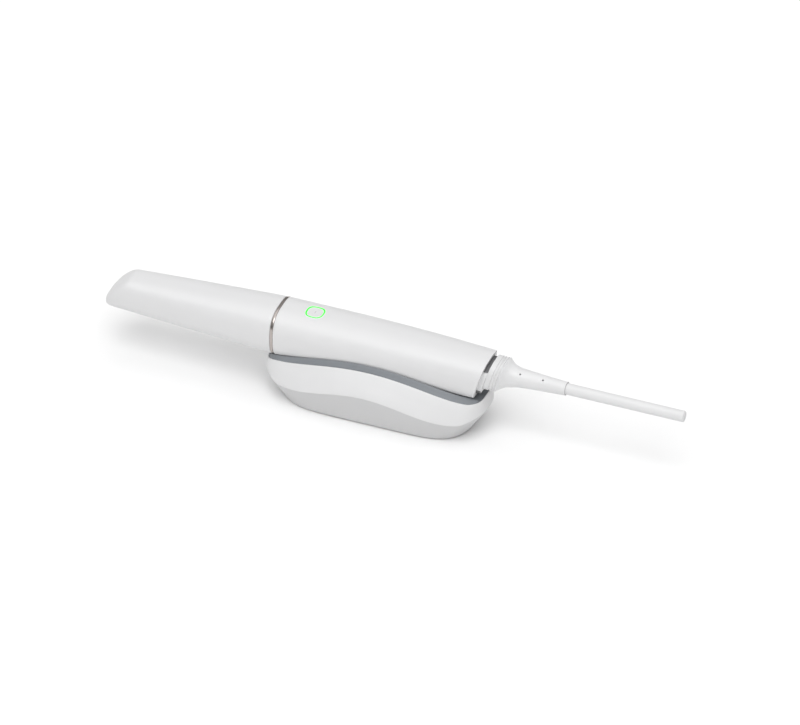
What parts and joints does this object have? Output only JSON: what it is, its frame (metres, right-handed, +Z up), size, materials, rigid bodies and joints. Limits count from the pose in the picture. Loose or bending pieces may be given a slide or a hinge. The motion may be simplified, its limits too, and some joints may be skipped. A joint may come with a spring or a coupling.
{
  "type": "intraoral scanner",
  "caption": "Wired intraoral scanner handpiece with a removable mirror tip, one lit button and a plug-in lead, resting in a weighted silicone-lined desktop cradle.",
  "frame": {"origin": "centre of the cradle's foot pad, on the surface it stands on", "axes": "+X along the handpiece from the scanning tip to the lead, +Y to the handpiece's side away from the usual viewer, +Z up"},
  "size_m": [0.4247, 0.066, 0.0661],
  "materials": {
    "housing_white": "satin gloss moulded plastic",
    "tip_white": "satin gloss moulded plastic, autoclavable",
    "cradle_white": "satin gloss moulded plastic",
    "button_white": "satin moulded plastic",
    "lead_white": "soft white jacket",
    "liner_silicone": "matte moulded silicone",
    "foot_silicone": "matte anti-slip silicone",
    "base_plastic": "matte moulded plastic",
    "weight_steel": "painted plate",
    "screw_steel": "machined",
    "collar_metal": "polished warm grey metal",
    "nose_black": "matte black moulded plastic",
    "window_glass": "coated optical window",
    "seal_rubber": "matte rubber",
    "frame_plastic": "glass-filled plastic",
    "bench_aluminium": "machined and blasted",
    "sink_aluminium": "extruded fins",
    "lens_black": "black anodised barrel",
    "module_black": "moulded module",
    "board_green": "circuit board",
    "switch_metal": "stamped",
    "flex_polyimide": "polyimide film",
    "fan_black": "moulded",
    "grille_dark": "dark moulded grille",
    "socket_metal": "stamped shell",
    "contact_black": "contact block",
    "mirror_glass": "front surface mirror",
    "led_green": "lit light guide"
  },
  "bodies": {
    "cradle": {"cradle_shell": "cradle_white", "cradle_liner": "liner_silicone", "base_plate": "base_plastic", "base_weight": "weight_steel", "foot_pad": "foot_silicone", "cradle_screws": "screw_steel"},
    "handpiece": {"upper_housing": "housing_white", "bottom_cover": "housing_white", "housing_screws": "screw_steel", "collar_ring": "collar_metal", "nose_tube": "nose_black", "nose_screws": "screw_steel", "nose_window": "window_glass", "window_seal": "seal_rubber", "tip_seal_ring": "seal_rubber", "inner_frame": "frame_plastic", "optical_bench": "bench_aluminium", "bench_screws": "screw_steel", "projector_lens": "lens_black", "projector_module": "module_black", "projector_led_board": "board_green", "heat_sink": "sink_aluminium", "camera_lens_left": "lens_black", "camera_lens_right": "lens_black", "sensor_board_left": "board_green", "sensor_board_right": "board_green", "led_ring": "led_green", "button_board": "board_green", "button_switch": "switch_metal", "main_board": "board_green", "board_screws": "screw_steel", "sensor_flex": "flex_polyimide", "fan_frame": "fan_black", "fan_screws": "screw_steel", "rear_frame": "housing_white", "vent_grille": "grille_dark", "lead_socket": "socket_metal", "socket_contacts": "contact_black"},
    "tip": {"tip_shell": "tip_white", "tip_mirror": "mirror_glass", "mirror_mount": "nose_black"},
    "button": {"button_cap": "button_white"},
    "fan": {"fan_rotor": "fan_black"},
    "lead": {"plug_housing": "lead_white", "plug_shell": "socket_metal", "strain_relief": "lead_white", "lead_cable": "lead_white", "lead_end_cap": "lead_white"}
  },
  "joints": [
    {"name": "handpiece_lift", "type": "slide", "parent": "cradle", "child": "handpiece", "axis": [0, 0, 1], "range_m": [0, 0.08]},
    {"name": "tip_pull", "type": "slide", "parent": "handpiece", "child": "tip", "axis": [-1, 0, 0], "range_m": [0, 0.052]},
    {"name": "button_press", "type": "slide", "parent": "handpiece", "child": "button", "axis": [0, 0, -1], "range_m": [0, 0.0005], "stiffness_N_per_m": 4000},
    {"name": "fan_spin", "type": "hinge", "parent": "handpiece", "child": "fan", "pos_m": [-0.025, 0, 0.0514], "axis": [1, 0, 0], "continuous": true},
    {"name": "plug_pull", "type": "slide", "parent": "handpiece", "child": "lead", "axis": [1, 0, 0], "range_m": [0, 0.022]}
  ]
}
